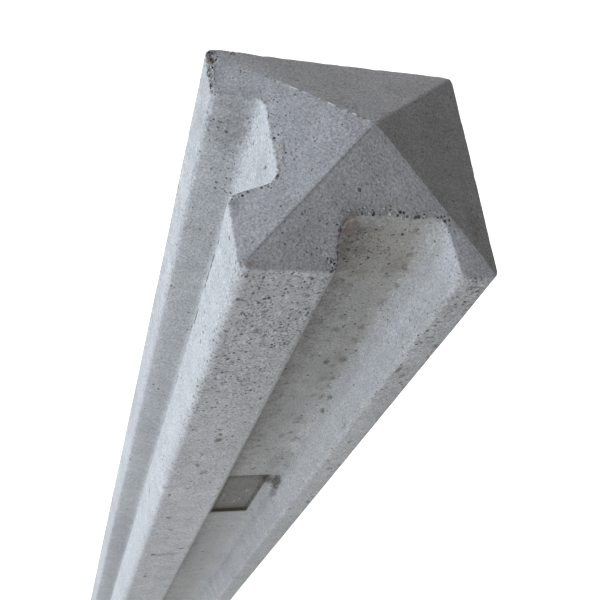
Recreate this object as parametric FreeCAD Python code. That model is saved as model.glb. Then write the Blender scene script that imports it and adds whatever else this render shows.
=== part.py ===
"""Slotted concrete corner post: one casting, nearly square in section, with a panel slot down each of
two adjoining faces and a four-sided weathered cap.

Frame: millimetres, +Z up, origin at the middle of the foot. The front slot is in the -Y face and the
side slot in the -X face. The two slotted faces meet at the inner arris, where X and Y are both negative.
The side face has mould draft: it leans out towards the back, so the back is wider than the front.
"""
import FreeCAD
import Part
import math
import os

from FreeCAD import Vector

# Overall casting
FRONT_WIDTH = 100.0
BACK_WIDTH = 106.0
SECTION_DEPTH = 100.0
POST_HEIGHT = 2400.0

# Weathered cap: four slopes that rise from the faces to a small blunt tip, midway along the front face
CAP_RISE = 23.0
TIP_FLAT = 2.0

# Panel slots: tapered, with the same mouth and floor on both faces
SLOT_MOUTH = 49.5
SLOT_FLOOR = 35.2
FRONT_SLOT_DEPTH = 19.4
SIDE_SLOT_DEPTH = 17.8

# Slot centres, measured from the origin along X and along Y
FRONT_SLOT_CENTRE = 12.8
SIDE_SLOT_CENTRE = 2.4

# Rounded corners that the mould leaves
ARRIS_RADIUS = 4.0
MOUTH_RADIUS = 3.0
FLOOR_RADIUS = 6.0

# Bare mark field, a shallow sunk panel in the floor of the front slot
MARK_WIDTH = 24.0
MARK_LENGTH = 75.0
MARK_DEPTH = 1.6
MARK_CENTRE_BELOW_CAP = 318.0


def side_face(y):
    """X of the drafted side face at a given Y."""
    back = -BACK_WIDTH / 2
    front = BACK_WIDTH / 2 - FRONT_WIDTH
    return front + (back - front) * (y / SECTION_DEPTH + 0.5)


def plan_corners():
    """Sharp corners of the plan, anticlockwise from the inner arris."""
    half_depth = SECTION_DEPTH / 2
    right_face = BACK_WIDTH / 2
    return [
        (side_face(-half_depth), -half_depth),
        (right_face, -half_depth),
        (right_face, half_depth),
        (side_face(half_depth), half_depth),
    ]


def slot_corners(centre, depth):
    """Corners of a slot section as (along the face, depth into the post, rounding radius)."""
    half_mouth = SLOT_MOUTH / 2
    half_floor = SLOT_FLOOR / 2
    return [
        (centre - half_mouth, 0.0, MOUTH_RADIUS),
        (centre - half_floor, depth, FLOOR_RADIUS),
        (centre + half_floor, depth, FLOOR_RADIUS),
        (centre + half_mouth, 0.0, MOUTH_RADIUS),
    ]


def section_corners():
    """Corners of the whole section, anticlockwise from the inner arris, as (x, y, rounding radius)."""
    front_slot = slot_corners(FRONT_SLOT_CENTRE, FRONT_SLOT_DEPTH)
    side_slot = slot_corners(SIDE_SLOT_CENTRE, SIDE_SLOT_DEPTH)
    front = [(u, v - SECTION_DEPTH / 2, r) for u, v, r in front_slot]
    side = [(side_face(u) + v, u, r) for u, v, r in reversed(side_slot)]
    arrises = [(x, y, ARRIS_RADIUS) for x, y in plan_corners()]
    return arrises[:1] + front + arrises[1:] + side


def rounded_corner(before, corner, after):
    """Start, middle and end of the tangent arc that rounds one corner of an outline."""
    at = Vector(corner[0], corner[1], 0)
    back = (Vector(before[0], before[1], 0) - at).normalize()
    ahead = (Vector(after[0], after[1], 0) - at).normalize()
    half_angle = back.getAngle(ahead) / 2
    radius = corner[2]
    setback = radius / math.tan(half_angle)
    bisector = (back + ahead).normalize()
    to_arc = radius / math.sin(half_angle) - radius
    return at + back * setback, at + bisector * to_arc, at + ahead * setback


def section_face():
    """The post's section as one flat face at the foot: straight runs joined by tangent arcs."""
    corners = section_corners()
    arcs = [
        rounded_corner(corners[i - 1], corner, corners[(i + 1) % len(corners)])
        for i, corner in enumerate(corners)
    ]
    edges = []
    for i, (start, middle, end) in enumerate(arcs):
        next_start = arcs[(i + 1) % len(arcs)][0]
        edges.append(Part.Arc(start, middle, end).toShape())
        edges.append(Part.LineSegment(end, next_start).toShape())
    return Part.Face(Part.Wire(edges))


def weathered_envelope():
    """Plain block of the post's outside with the four-sided cap on it."""
    shoulder = POST_HEIGHT - CAP_RISE
    shaft = Part.Face(plan_ring(1.0, 0.0)).extrude(Vector(0, 0, shoulder))
    tip_share = TIP_FLAT / FRONT_WIDTH
    cap = Part.makeLoft([plan_ring(1.0, shoulder), plan_ring(tip_share, POST_HEIGHT)], True, True)
    return shaft.fuse(cap)


def plan_ring(share, z):
    """Closed wire of the plan at height z, shrunk towards the tip to a share of its size."""
    tip_x = BACK_WIDTH / 2 - FRONT_WIDTH / 2
    points = [Vector(tip_x + (x - tip_x) * share, y * share, z) for x, y in plan_corners()]
    return Part.makePolygon(points + points[:1])


def mark_field():
    """Cutter of the bare mark field: a shallow panel in the middle of the front slot's floor."""
    face_y = -SECTION_DEPTH / 2
    foot_z = POST_HEIGHT - CAP_RISE - MARK_CENTRE_BELOW_CAP - MARK_LENGTH / 2
    corner = Vector(FRONT_SLOT_CENTRE - MARK_WIDTH / 2, face_y, foot_z)
    return Part.makeBox(MARK_WIDTH, FRONT_SLOT_DEPTH + MARK_DEPTH, MARK_LENGTH, corner)


def concrete_post():
    """The casting: the slotted section run to full height, weathered at the top, with its mark field."""
    shaft = section_face().extrude(Vector(0, 0, POST_HEIGHT))
    casting = shaft.common(weathered_envelope()).cut(mark_field()).removeSplitter()
    if len(casting.Solids) != 1:
        raise ValueError("the casting came out as {} solids".format(len(casting.Solids)))
    return casting.Solids[0]


def main():
    os.makedirs("parts", exist_ok=True)
    post = concrete_post()
    post.exportStep("parts/concrete_post.step")
    box = post.BoundBox
    print("concrete_post: solids", len(post.Solids), "faces", len(post.Faces), "valid", post.isValid())
    print("size in mm", box.XLength, box.YLength, box.ZLength, "volume in litres", post.Volume / 1e6)


main()
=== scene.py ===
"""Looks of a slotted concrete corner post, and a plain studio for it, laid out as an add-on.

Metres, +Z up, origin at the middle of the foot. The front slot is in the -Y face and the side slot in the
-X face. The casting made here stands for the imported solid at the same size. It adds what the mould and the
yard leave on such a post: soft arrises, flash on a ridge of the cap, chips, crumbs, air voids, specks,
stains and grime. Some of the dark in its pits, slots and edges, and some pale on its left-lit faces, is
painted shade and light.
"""
import math
import random

import bpy
import numpy as np
from bpy.props import FloatProperty, FloatVectorProperty, IntProperty, PointerProperty
from mathutils import Matrix, Vector, noise
from mathutils.geometry import delaunay_2d_cdt


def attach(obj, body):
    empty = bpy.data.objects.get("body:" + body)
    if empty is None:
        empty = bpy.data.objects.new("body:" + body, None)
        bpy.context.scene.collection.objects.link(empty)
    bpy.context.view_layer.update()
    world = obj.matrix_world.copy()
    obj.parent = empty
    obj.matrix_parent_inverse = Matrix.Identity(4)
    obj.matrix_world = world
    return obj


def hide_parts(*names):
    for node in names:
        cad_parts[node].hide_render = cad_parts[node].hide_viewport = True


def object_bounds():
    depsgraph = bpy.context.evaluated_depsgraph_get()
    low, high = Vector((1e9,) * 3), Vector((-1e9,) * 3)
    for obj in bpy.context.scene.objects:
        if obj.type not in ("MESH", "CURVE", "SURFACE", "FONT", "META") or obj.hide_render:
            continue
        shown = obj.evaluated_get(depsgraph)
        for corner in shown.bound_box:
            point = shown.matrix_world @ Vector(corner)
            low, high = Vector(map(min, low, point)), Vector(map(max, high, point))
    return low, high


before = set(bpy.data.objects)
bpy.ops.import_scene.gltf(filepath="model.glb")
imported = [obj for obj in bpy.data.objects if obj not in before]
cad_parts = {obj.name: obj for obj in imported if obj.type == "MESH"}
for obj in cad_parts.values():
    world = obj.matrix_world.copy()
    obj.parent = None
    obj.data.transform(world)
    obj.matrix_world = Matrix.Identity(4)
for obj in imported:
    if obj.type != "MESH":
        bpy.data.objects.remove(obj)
CAD_LOW, CAD_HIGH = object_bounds()

bl_info = {
    "name": "Slotted Corner Post",
    "version": (1, 0, 0),
    "blender": (4, 5, 0),
    "location": "View3D > Sidebar > Corner Post",
    "description": "Casts a slotted concrete corner post and lights it in a plain studio",
    "category": "Add Mesh",
}

MM = 0.001
NODE = "concrete_post"
PIECE = "cast_corner_post"

# Half of the slope at the sides of the sunk field
MARK_EDGE = 0.5 * MM

# Corners of the section, anticlockwise from the inner arris
INNER_ARRIS, FRONT_NEAR_MOUTH, FRONT_NEAR_FLOOR, FRONT_FAR_FLOOR, FRONT_FAR_MOUTH = range(5)
RIGHT_ARRIS, BACK_ARRIS, LEFT_ARRIS = range(5, 8)
SIDE_FAR_MOUTH, SIDE_FAR_FLOOR, SIDE_NEAR_FLOOR, SIDE_NEAR_MOUTH = range(8, 12)


def linear(hex_colour):
    """Linear RGB of an sRGB hex colour such as B4B2AD."""
    parts = [int(hex_colour[i:i + 2], 16) / 255 for i in (0, 2, 4)]
    return tuple(c / 12.92 if c <= 0.04045 else ((c + 0.055) / 1.055) ** 2.4 for c in parts)


def millimetres(name, description, value):
    """Property that holds a length, given in mm."""
    return FloatProperty(name=name, description=description, unit="LENGTH", default=value * MM)


def degrees(name, description, value):
    """Property that holds an angle, given in degrees."""
    return FloatProperty(name=name, description=description, subtype="ANGLE", default=math.radians(value))


def srgb(name, description, value):
    """Property that holds a colour, given as sRGB hex."""
    return FloatVectorProperty(name=name, description=description, subtype="COLOR", default=linear(value))


class PostSizes(bpy.types.PropertyGroup):
    """Sizes of the casting"""
    front_width: millimetres("Front width", "Front face along X", 100)
    back_width: millimetres("Back width", "Back face along X, wider by the mould's draft", 106)
    depth: millimetres("Depth", "Section along Y", (CAD_HIGH.y - CAD_LOW.y) / MM)
    height: millimetres("Height", "Foot to tip", (CAD_HIGH.z - CAD_LOW.z) / MM)
    cap_rise: millimetres("Cap rise", "Shoulder to tip", 23)
    tip_flat: millimetres("Tip flat", "Blunt top of the cap", 2)
    slot_mouth: millimetres("Slot mouth", "Slot width at the face", 49.5)
    slot_floor: millimetres("Slot floor", "Slot width at its floor", 35.2)
    front_depth: millimetres("Front slot depth", "Front face to slot floor", 19.4)
    side_depth: millimetres("Side slot depth", "Side face to slot floor", 17.8)
    front_centre: millimetres("Front slot centre", "Along X", 12.8)
    side_centre: millimetres("Side slot centre", "Along Y", 2.4)
    arris_radius: millimetres("Arris radius", "Rounding of the outer corners", 4)
    mouth_radius: millimetres("Mouth radius", "Rounding of the slot mouths", 3)
    floor_radius: millimetres("Floor radius", "Fillet in the slot floors", 6)
    cap_edge: millimetres("Cap edge radius", "Rounding between faces and cap", 0.7)
    ridge_width: millimetres("Ridge width", "Rounding of the cap's ridges", 0.9)
    worn_reach: millimetres("Worn reach", "How far the left corner of the cap is worn", 26)
    worn_lift: millimetres("Worn lift", "Paste that lies thicker on the worn corner", 1.0)
    mark_width: millimetres("Mark width", "Bare sunk field in the front slot, across it", 24)
    mark_length: millimetres("Mark length", "Bare sunk field in the front slot, along it", 75)
    mark_sink: millimetres("Mark depth", "How far the field is sunk", 1.6)
    mark_below: millimetres("Mark below cap", "Shoulder to the field's middle", 318)


class PostWear(bpy.types.PropertyGroup):
    """Unevenness, chips, crumbs and air voids of the casting"""
    seed: IntProperty(name="Seed", description="Picks the chips, crumbs and voids", default=7)
    wave: millimetres("Wave", "Unevenness of the moulded faces", 0.22)
    crumble: millimetres("Crumble", "Crumbling of the edges", 0.55)
    near_wall: millimetres("Near wall", "Wear of the front slot's near wall under the cap", 2.8)
    lip: millimetres("Lip", "Paste at the mouth of the side slot's near wall under the cap", 2.2)
    flash: millimetres("Flash", "Fin of paste on a ridge of the cap", 0.4)
    void_small: millimetres("Smallest void", "Radius of an air void", 0.22)
    void_large: millimetres("Largest void", "Radius of an air void", 0.52)
    void_gap: millimetres("Void gap", "Least distance between air voids", 1.2)
    void_density: FloatProperty(name="Void density", default=600000.0,
                                description="Air voids on a square metre at most")


class PostColours(bpy.types.PropertyGroup):
    """Colours of the concrete"""
    paste: srgb("Paste", "Cement paste on the moulded faces", "C0BFBC")
    shade: srgb("Shade", "Darker clouds in the paste", "ABAAA8")
    # Also laid as painted light on faces that the left lamps light
    laitance_and_light: srgb("Laitance", "Pale skin and worn edges", "DDDEDF")
    cap: srgb("Cap", "Smooth grey of the cap", "B2B0B0")
    # Also painted shade: the dark in pits, air voids and slot corners, and along some edges
    dirt_and_shade: srgb("Dirt", "Dirt in pits and voids", "4A4642")
    # Also painted shade: the front slot's near corner, the inner ridge of the cap and the sunk field's edges
    grime_and_shade: srgb("Grime", "Olive film that standing water leaves", "4B4639")
    stain: srgb("Stain", "Brown water stain", "8B8176")
    rust: srgb("Rust", "Reddish brown of iron in the sand", "7A5F52")
    sand: srgb("Sand", "Yellow sand grains", "C2B79C")
    stone: srgb("Stone", "Brown stone in a broken corner", "6E5440")


# Stains of the upper post, with some painted shade and painted light among them: colour, middle in mm with Z
# from the cap's edge, half sizes in mm, strength
STAINS = (
    # Rain water that dried on the floor of the front slot
    ("stain", (9, -31, -7), (17, 8, 19), 0.16),
    ("sand", (13, -31, -14), (20, 8, 34), 0.16),
    ("stain", (24, -31, -24), (7, 6, 9), 0.40),
    ("stain", (23, -31, -90), (7, 6, 75), 0.28),
    # Film of grime down the slots and on the faces beside them, and painted shade in the slots' shadowed
    # parts
    # Painted shade: two long bands on the front slot's floor beside its near flange, which shadows them
    ("grime_and_shade", (-3, -31, -130), (13, 6, 250), 0.35),
    ("grime_and_shade", (-4, -32, -800), (7, 6, 1100), 0.35),
    ("dirt_and_shade", (13, -31, -60), (20, 3, 330), 0.05),
    # Painted shade: a long band down the side slot's far wall, which the near flange keeps from the front
    # light
    ("dirt_and_shade", (-43, 24, -450), (9, 5, 900), 0.12),
    ("dirt_and_shade", (-43, 24, -8), (10, 6, 30), 0.24),
    ("dirt_and_shade", (45, -50, -300), (9, 3, 700), 0.09),
    ("dirt_and_shade", (-29, -50, -20), (24, 3, 70), 0.10),
    ("dirt_and_shade", (-51, 38, -5), (4, 13, 60), 0.17),
    # Iron in the near corner of the front slot and at the inner corner of the cap
    ("rust", (-5.5, -35, 3), (5, 7, 9), 0.60),
    ("rust", (-5.5, -36, -30), (3, 6, 10), 0.35),
    ("rust", (-44, -48.2, 0.8), (3, 1.3, 1.3), 0.28),
    ("stain", (45, -28, 4), (5, 9, 4), 0.30),
    # Dirt at the crumbled mouths of the slots
    ("dirt_and_shade", (-46, -24, 1), (2.2, 4, 2), 0.30),
    # The pitted left corner: brown in the pit, crumbs below it
    ("stone", (-50.2, 43.6, 1), (1.4, 1.9, 2.4), 0.95),
    ("sand", (-52.1, 43, 0.5), (0.9, 1.6, 1.4), 0.80),
    ("dirt_and_shade", (-51.6, 39.2, 0.3), (0.9, 1.8, 1.2), 0.75),
    ("dirt_and_shade", (-51.6, 36, 0.3), (0.8, 1.2, 1.2), 0.75),
    ("dirt_and_shade", (-50.6, 47.4, 0.5), (2.2, 1.4, 1.5), 0.60),
    ("dirt_and_shade", (-42, 49, 0.5), (2.2, 0.8, 1.2), 0.60),
    # Pale skin under the cap's edge, and a flake at the edge of the side slot with its dark outline
    ("laitance_and_light", (-27, -50, -1.6), (2.4, 2, 1.2), 0.60),
    ("laitance_and_light", (-22.6, -50, -2.3), (2.8, 2, 1.4), 0.50),
    ("laitance_and_light", (-30.3, 3, 8.6), (1.2, 3.5, 1.6), 0.40),
    ("sand", (-30.2, -2.5, 8.6), (1.6, 3.2, 1.6), 0.50),
    ("sand", (-30, -9, 8.6), (1.0, 3, 1.6), 0.25),
    ("dirt_and_shade", (-28.4, -2.5, 9.2), (0.5, 4, 1.5), 0.60),
    ("dirt_and_shade", (-28.9, -9, 9.2), (0.4, 4, 1.5), 0.50),
    # Thin laitance below the sunk field; painted light over the cap's left slope and on the front slot's
    # right wall, a pale coat on faces that the left lamps light
    ("laitance_and_light", (20, -32, -430), (16, 8, 120), 0.20),
    # Painted light on the cap's left slope
    ("laitance_and_light", (-31, 2, 9), (25, 42, 14), 0.15),
    # Painted light: the front slot's right wall made paler and bluer, as the key light shows it
    ("laitance_and_light", (34, -41, -70), (8, 13, 130), 0.14),
    # Dashes that the mould dragged across the front
    ("dirt_and_shade", (-34.7, -50, -63.3), (2.6, 2, 0.5), 0.60),
    ("dirt_and_shade", (-36.5, -50, -83.5), (4.6, 2, 0.45), 0.55),
    ("dirt_and_shade", (-29.5, -50, -390), (13, 2, 4.5), 0.30),
    ("dirt_and_shade", (45, -50, -6.8), (4, 2, 0.9), 0.70),
    ("dirt_and_shade", (42, -50, -35), (2.4, 2, 0.8), 0.45),
    ("dirt_and_shade", (43.5, -50, -49), (3, 2, 1.2), 0.40),
    # Spots along the far side of the front slot's floor
    ("dirt_and_shade", (27, -31, -25), (1.6, 4, 2.2), 0.45),
    ("dirt_and_shade", (21.7, -31, -33), (1.8, 4, 1.4), 0.40),
    ("dirt_and_shade", (28, -31, -39.5), (1.6, 4, 2), 0.35),
    ("dirt_and_shade", (24.6, -31, -77), (1.8, 4, 3), 0.40),
    ("dirt_and_shade", (25, -31, -90), (2, 4, 3), 0.35),
    ("dirt_and_shade", (25, -31, -110), (2, 4, 4), 0.35),
    # Smear at the upper corner of the sunk field
    ("grime_and_shade", (27, -32, -268), (9, 6, 40), 0.24),
    ("grime_and_shade", (26, -31, -287), (6.5, 4, 8), 0.68),
    ("grime_and_shade", (31, -33.5, -285), (4.5, 4.5, 11), 0.76),
    ("grime_and_shade", (32, -35.5, -300), (2.4, 3.5, 11), 0.50),
)

# Soft smears: middle in mm with Z from the cap's edge, half sizes in mm, share of the cells with a smear
SMEARED = (
    ((24, -31, -150), (8, 8, 210), 0.85),
    ((8, -31, -120), (10, 8, 160), 0.30),
    ((45, -50, -140), (9, 8, 260), 0.40),
    ((-29, -50, -250), (22, 8, 260), 0.30),
)
SMEAR_CELL = (4.5, 4.5, 7)

# Dark specks, painted shade of fine pits with dirt in them: size of their cells in mm, how often on walls
# and on the cap, largest radius in cells
SPECK_LAYERS = (
    ((1.6, 1.6, 2.1), 1.0, 0.06, 0.58),
    ((0.9, 0.9, 1.2), 1.4, 2.8, 0.58),
    ((2.8, 2.8, 3.6), 0.18, 0.0, 0.38),
)

# Speckled patches: middle in mm with Z from the cap's edge, half sizes in mm, and the shares of the cells
# that get a dark speck or a pale grain there
SPECKLED = (
    ((-29, -50, -40), (22, 8, 72), 0.58, 0.58),
    ((-29, -50, -130), (22, 8, 140), 0.14, 0.14),
    ((6, -31, -10), (12, 8, 16), 0.95, 0.0),
    ((14, -31, -50), (16, 8, 70), 0.10, 0.0),
    ((45, -50, -14), (9, 8, 26), 0.45, 0.3),
    ((45, -50, -60), (9, 8, 90), 0.20, 0.1),
    ((-43, 24, -14), (10, 9, 30), 0.06, 0.06),
)
# The same on the cap
SPECKLED_CAP = (
    ((-20, -37, 6), (27, 13, 12), 0.07, 0.05),
    ((5, -22, 12), (22, 10, 12), 0.03, 0.03),
)


class StudioSettings(bpy.types.PropertyGroup):
    """Camera and light"""
    eye: FloatVectorProperty(name="Eye", description="Camera place", subtype="TRANSLATION",
                             default=(-107.28 * MM, -210.96 * MM, 2638.32 * MM))
    heading: degrees("Heading", "Camera turn about Z", -35.332)
    tilt: degrees("Tilt", "Camera turn from straight down", 33.229)
    roll: degrees("Roll", "Camera turn about its own axis", 31.735)
    lens: FloatProperty(name="Lens", description="Focal length in mm on a 36 mm frame", default=54.133)
    shift: FloatVectorProperty(name="Shift", description="Shares of the frame", size=2,
                               default=(-0.0894, 0.0432))
    sky: FloatProperty(name="Sky", description="Light from all round", default=0.165)
    key: FloatProperty(name="Key", description="Power of the left softboxes in watts", default=96.5)
    front: FloatProperty(name="Front", description="Power of the front softbox in watts", default=18.5)
    fill: FloatProperty(name="Fill", description="Power of each softbox behind in watts", default=24.0)


def unit(vector):
    """The vector at length one."""
    return vector / np.linalg.norm(vector)


def smooth_step(low, high, value):
    """Soft rise from 0 at low to 1 at high."""
    t = np.clip((value - low) / (high - low), 0, 1)
    return t * t * (3 - 2 * t)


def cloud(points, wavelength, octaves, place):
    """Fractal noise of about -1 to 1 at each point. Its largest bumps are a wavelength wide."""
    offset = Vector((place, 2.7 * place, 5.1 * place))
    return np.array([noise.fractal(Vector(p) / wavelength + offset, 1.0, 2.0, octaves) for p in points])


def side_face(sizes, y):
    """X of the side face, which leans out towards the back."""
    back = -sizes.back_width / 2
    front = sizes.back_width / 2 - sizes.front_width
    return front + (back - front) * (y / sizes.depth + 0.5)


def plan_corners(sizes):
    """Sharp corners of the plan, anticlockwise from the inner arris."""
    right = sizes.back_width / 2
    half = sizes.depth / 2
    inner = (side_face(sizes, -half), -half)
    left = (side_face(sizes, half), half)
    return np.array((inner, (right, -half), (right, half), left))


def plan_tip(sizes):
    """Place of the cap's tip in plan, midway along the front face."""
    return np.array(((sizes.back_width - sizes.front_width) / 2, 0.0))


def slot_corners(sizes, centre, depth):
    """Corners of one slot as (along the face, depth into the post, radius)."""
    mouth = sizes.slot_mouth / 2
    floor = sizes.slot_floor / 2
    return [
        (centre - mouth, 0.0, sizes.mouth_radius),
        (centre - floor, depth, sizes.floor_radius),
        (centre + floor, depth, sizes.floor_radius),
        (centre + mouth, 0.0, sizes.mouth_radius),
    ]


def section_corners(sizes):
    """Corners of the section as (x, y, radius), in the order of the names above."""
    front_slot = slot_corners(sizes, sizes.front_centre, sizes.front_depth)
    side_slot = slot_corners(sizes, sizes.side_centre, sizes.side_depth)
    front = [(u, v - sizes.depth / 2, r) for u, v, r in front_slot]
    side = [(side_face(sizes, u) + v, u, r) for u, v, r in reversed(side_slot)]
    arrises = [(x, y, sizes.arris_radius) for x, y in plan_corners(sizes)]
    return arrises[:1] + front + arrises[1:] + side


def even_stations(length, step, breaks=()):
    """Shares of a run at which it has a vertex, its ends left out, with one vertex at each break."""
    ends = [0.0, *breaks, length]
    stations = []
    for start, end in zip(ends, ends[1:]):
        count = max(1, round((end - start) / step))
        stations += [(start + (end - start) * i / count) / length for i in range(count)]
    return stations[1:]


class Outline:
    """Rounded section as columns of vertices: place, outward direction, corner and closeness to an arris."""
    ARC_STEP = 0.65 * MM
    NEAR_STEP = 1.25 * MM
    FAR_STEP = 2.4 * MM

    def __init__(self, sizes):
        corners = section_corners(sizes)
        arcs = [self.arc(corners, i) for i in range(len(corners))]
        places, outs, marks, arris = [], [], [], []
        for i, (centre, radius, start, sweep) in enumerate(arcs):
            count = max(3, round(abs(sweep) * radius / self.ARC_STEP))
            for k in range(count + 1):
                angle = start + sweep * k / count
                ray = np.array((math.cos(angle), math.sin(angle)))
                places.append(centre + radius * ray)
                outs.append(ray if sweep > 0 else -ray)
                marks.append(i)
                arris.append(math.sin(math.pi * k / count) if sweep > 0 else 0.0)
            end = places[-1]
            out = outs[-1]
            centre, radius, start, sweep = arcs[(i + 1) % len(arcs)]
            run = centre + radius * np.array((math.cos(start), math.sin(start))) - end
            length = np.linalg.norm(run)
            behind = RIGHT_ARRIS <= i < LEFT_ARRIS
            for share in even_stations(length, self.FAR_STEP if behind else self.NEAR_STEP,
                                       self.mark_breaks(sizes, i, end)):
                places.append(end + run * share)
                outs.append(out)
                marks.append(i + 0.5)
                arris.append(0.0)
        self.at = np.array(places)
        self.out = np.array(outs)
        self.mark = np.array(marks)
        self.arris = np.array(arris)

    @staticmethod
    def arc(corners, i):
        """Centre, radius, start angle and signed sweep of the arc that rounds corner i."""
        at = np.array(corners[i][:2])
        radius = corners[i][2]
        back = unit(np.array(corners[i - 1][:2]) - at)
        ahead = unit(np.array(corners[(i + 1) % len(corners)][:2]) - at)
        half = math.acos(np.dot(back, ahead)) / 2
        centre = at + unit(back + ahead) * radius / math.sin(half)
        start = at + back * radius / math.tan(half) - centre
        sweep = math.pi - 2 * half
        convex = back[0] * ahead[1] - back[1] * ahead[0] < 0
        return centre, radius, math.atan2(start[1], start[0]), sweep if convex else -sweep

    @staticmethod
    def mark_breaks(sizes, i, run_start):
        """Places along the front slot's floor where the sunk field's two edges stand."""
        if i != FRONT_NEAR_FLOOR:
            return ()
        middle = sizes.front_centre - run_start[0]
        near = middle - sizes.mark_width / 2
        far = middle + sizes.mark_width / 2
        return (near - MARK_EDGE, near + MARK_EDGE, far - MARK_EDGE, far + MARK_EDGE)


def face_shares(sizes, x, y):
    """Distances of points from the front, right, back and side face, as shares of the tip's distance."""
    half = sizes.depth / 2
    right = sizes.back_width / 2
    tip_x, tip_y = plan_tip(sizes)
    return np.array((
        (y + half) / half,
        (right - x) / (right - tip_x),
        (half - y) / half,
        (x - side_face(sizes, y)) / (tip_x - side_face(sizes, tip_y)),
    ))


def cap_height(sizes, x, y):
    """Height of the weathered cap over points of the section, with its ridges and tip rounded.

    At the left corner the ridge is worn away, so that the two slopes run together.
    """
    blunting = 9
    left = plan_corners(sizes)[3]
    worn = np.exp(-((x - left[0]) ** 2 + (y - left[1]) ** 2) / sizes.worn_reach ** 2)
    soft = sizes.ridge_width / sizes.depth * (1 + blunting * worn)
    share = -soft * np.log(np.exp(-face_shares(sizes, x, y) / soft).sum(axis=0))
    full = 1 - sizes.tip_flat / sizes.front_width
    return sizes.height - sizes.cap_rise * (1 - np.clip(share / full, 0, 1)) + sizes.worn_lift * worn


def ridge_run(sizes, plan, corner):
    """Distance of points in plan from one ridge of the cap, and their share of its length from the tip."""
    tip = plan_tip(sizes)
    run = plan_corners(sizes)[corner] - tip
    along = (plan - tip) @ run / (run @ run)
    nearest = tip + np.clip(along, 0, 1)[:, None] * run
    return np.linalg.norm(plan - nearest, axis=1), along


def wall_rings(sizes):
    """Depths of the wall's rings below the cap's edge: close at the top, and at the sunk field's edges."""
    first = 1.0 * MM
    growth = 1.026
    clearance = 1.2 * MM
    shoulder = sizes.height - sizes.cap_rise
    top = sizes.mark_below - sizes.mark_length / 2
    foot = sizes.mark_below + sizes.mark_length / 2
    kept = [top - MARK_EDGE, top + MARK_EDGE, foot - MARK_EDGE, foot + MARK_EDGE, shoulder - sizes.cap_edge]
    depths = [sizes.cap_edge]
    step = first
    while depths[-1] + step < kept[-1]:
        depths.append(depths[-1] + step)
        step *= growth
    clear = [d for d in depths if min(abs(d - k) for k in kept) > clearance]
    return sorted(clear + kept)


def inside(points, loop):
    """True for each point within a closed loop, by counting the loop's crossings."""
    x, y = points[:, :1], points[:, 1:]
    ax, ay = loop[:, 0], loop[:, 1]
    bx, by = np.roll(ax, -1), np.roll(ay, -1)
    spans = (ay > y) != (by > y)
    with np.errstate(divide="ignore", invalid="ignore"):
        crossing = x < ax + (y - ay) / (by - ay) * (bx - ax)
    return (np.count_nonzero(spans & crossing, axis=1) % 2) == 1


def fill_loop(loop, points):
    """Triangles over a closed loop and the points in it. The loop's vertices come first."""
    sliver = 1e-9
    merging = 1e-9
    count = len(loop)
    edges = [(i, (i + 1) % count) for i in range(count)]
    coords = [Vector(p) for p in np.vstack((loop, points))]
    placed, _, faces, origins, _, _ = delaunay_2d_cdt(coords, edges, [], 0, merging, True)
    if len(placed) != len(coords):
        raise RuntimeError("the fill of a section added or lost vertices")
    a, b, c = np.array([[placed[i] for i in face] for face in faces]).transpose(1, 0, 2)
    sides = (b - a)[:, 0] * (c - a)[:, 1] - (b - a)[:, 1] * (c - a)[:, 0]
    kept = inside((a + b + c) / 3, np.asarray(loop)) & (np.abs(sides) > sliver)
    return [[origins[i][0] for i in face] for face, keep in zip(faces, kept) if keep]


def cap_points(sizes, loop, rng):
    """Points over the cap inside its edge: an even field, and close rows along the ridges."""
    pitch = 1.35 * MM
    along_pitch = 0.9 * MM
    clearance = 0.75 * MM
    asides = (-1.1 * MM, -0.5 * MM, 0.0, 0.5 * MM, 1.1 * MM)
    tip = plan_tip(sizes)
    rows = [tip[None, :]]
    for corner in plan_corners(sizes):
        ridge = unit(corner - tip)
        across = np.array((-ridge[1], ridge[0]))
        along = np.arange(along_pitch, np.linalg.norm(corner - tip), along_pitch)
        for aside in asides:
            reached = along[along > 2 * abs(aside)]
            rows.append(tip + reached[:, None] * ridge + aside * across)
    low, high = loop.min(axis=0), loop.max(axis=0)
    xs = np.arange(low[0], high[0], pitch)
    ys = np.arange(low[1], high[1], pitch * math.sqrt(3) / 2)
    field = np.array([(x + (k % 2) * pitch / 2, y) for k, y in enumerate(ys) for x in xs])
    field += rng.uniform(-0.15, 0.15, field.shape) * pitch
    off_ridge = np.min([ridge_run(sizes, field, corner)[0] for corner in range(4)], axis=0)
    points = np.vstack(rows + [field[off_ridge > asides[-1] + clearance]])
    points = points[inside(points, loop)]
    gaps = np.linalg.norm(points[:, None, :] - loop[None, :, :], axis=2).min(axis=1)
    return points[gaps > clearance]


# What the vertices carry for the material, the air voids and the crumbs
SHOWN = ("cap", "pale", "dirt_and_shade", "film_and_shade", "broken", "coarse", "void_share", "crumb_share")


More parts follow.
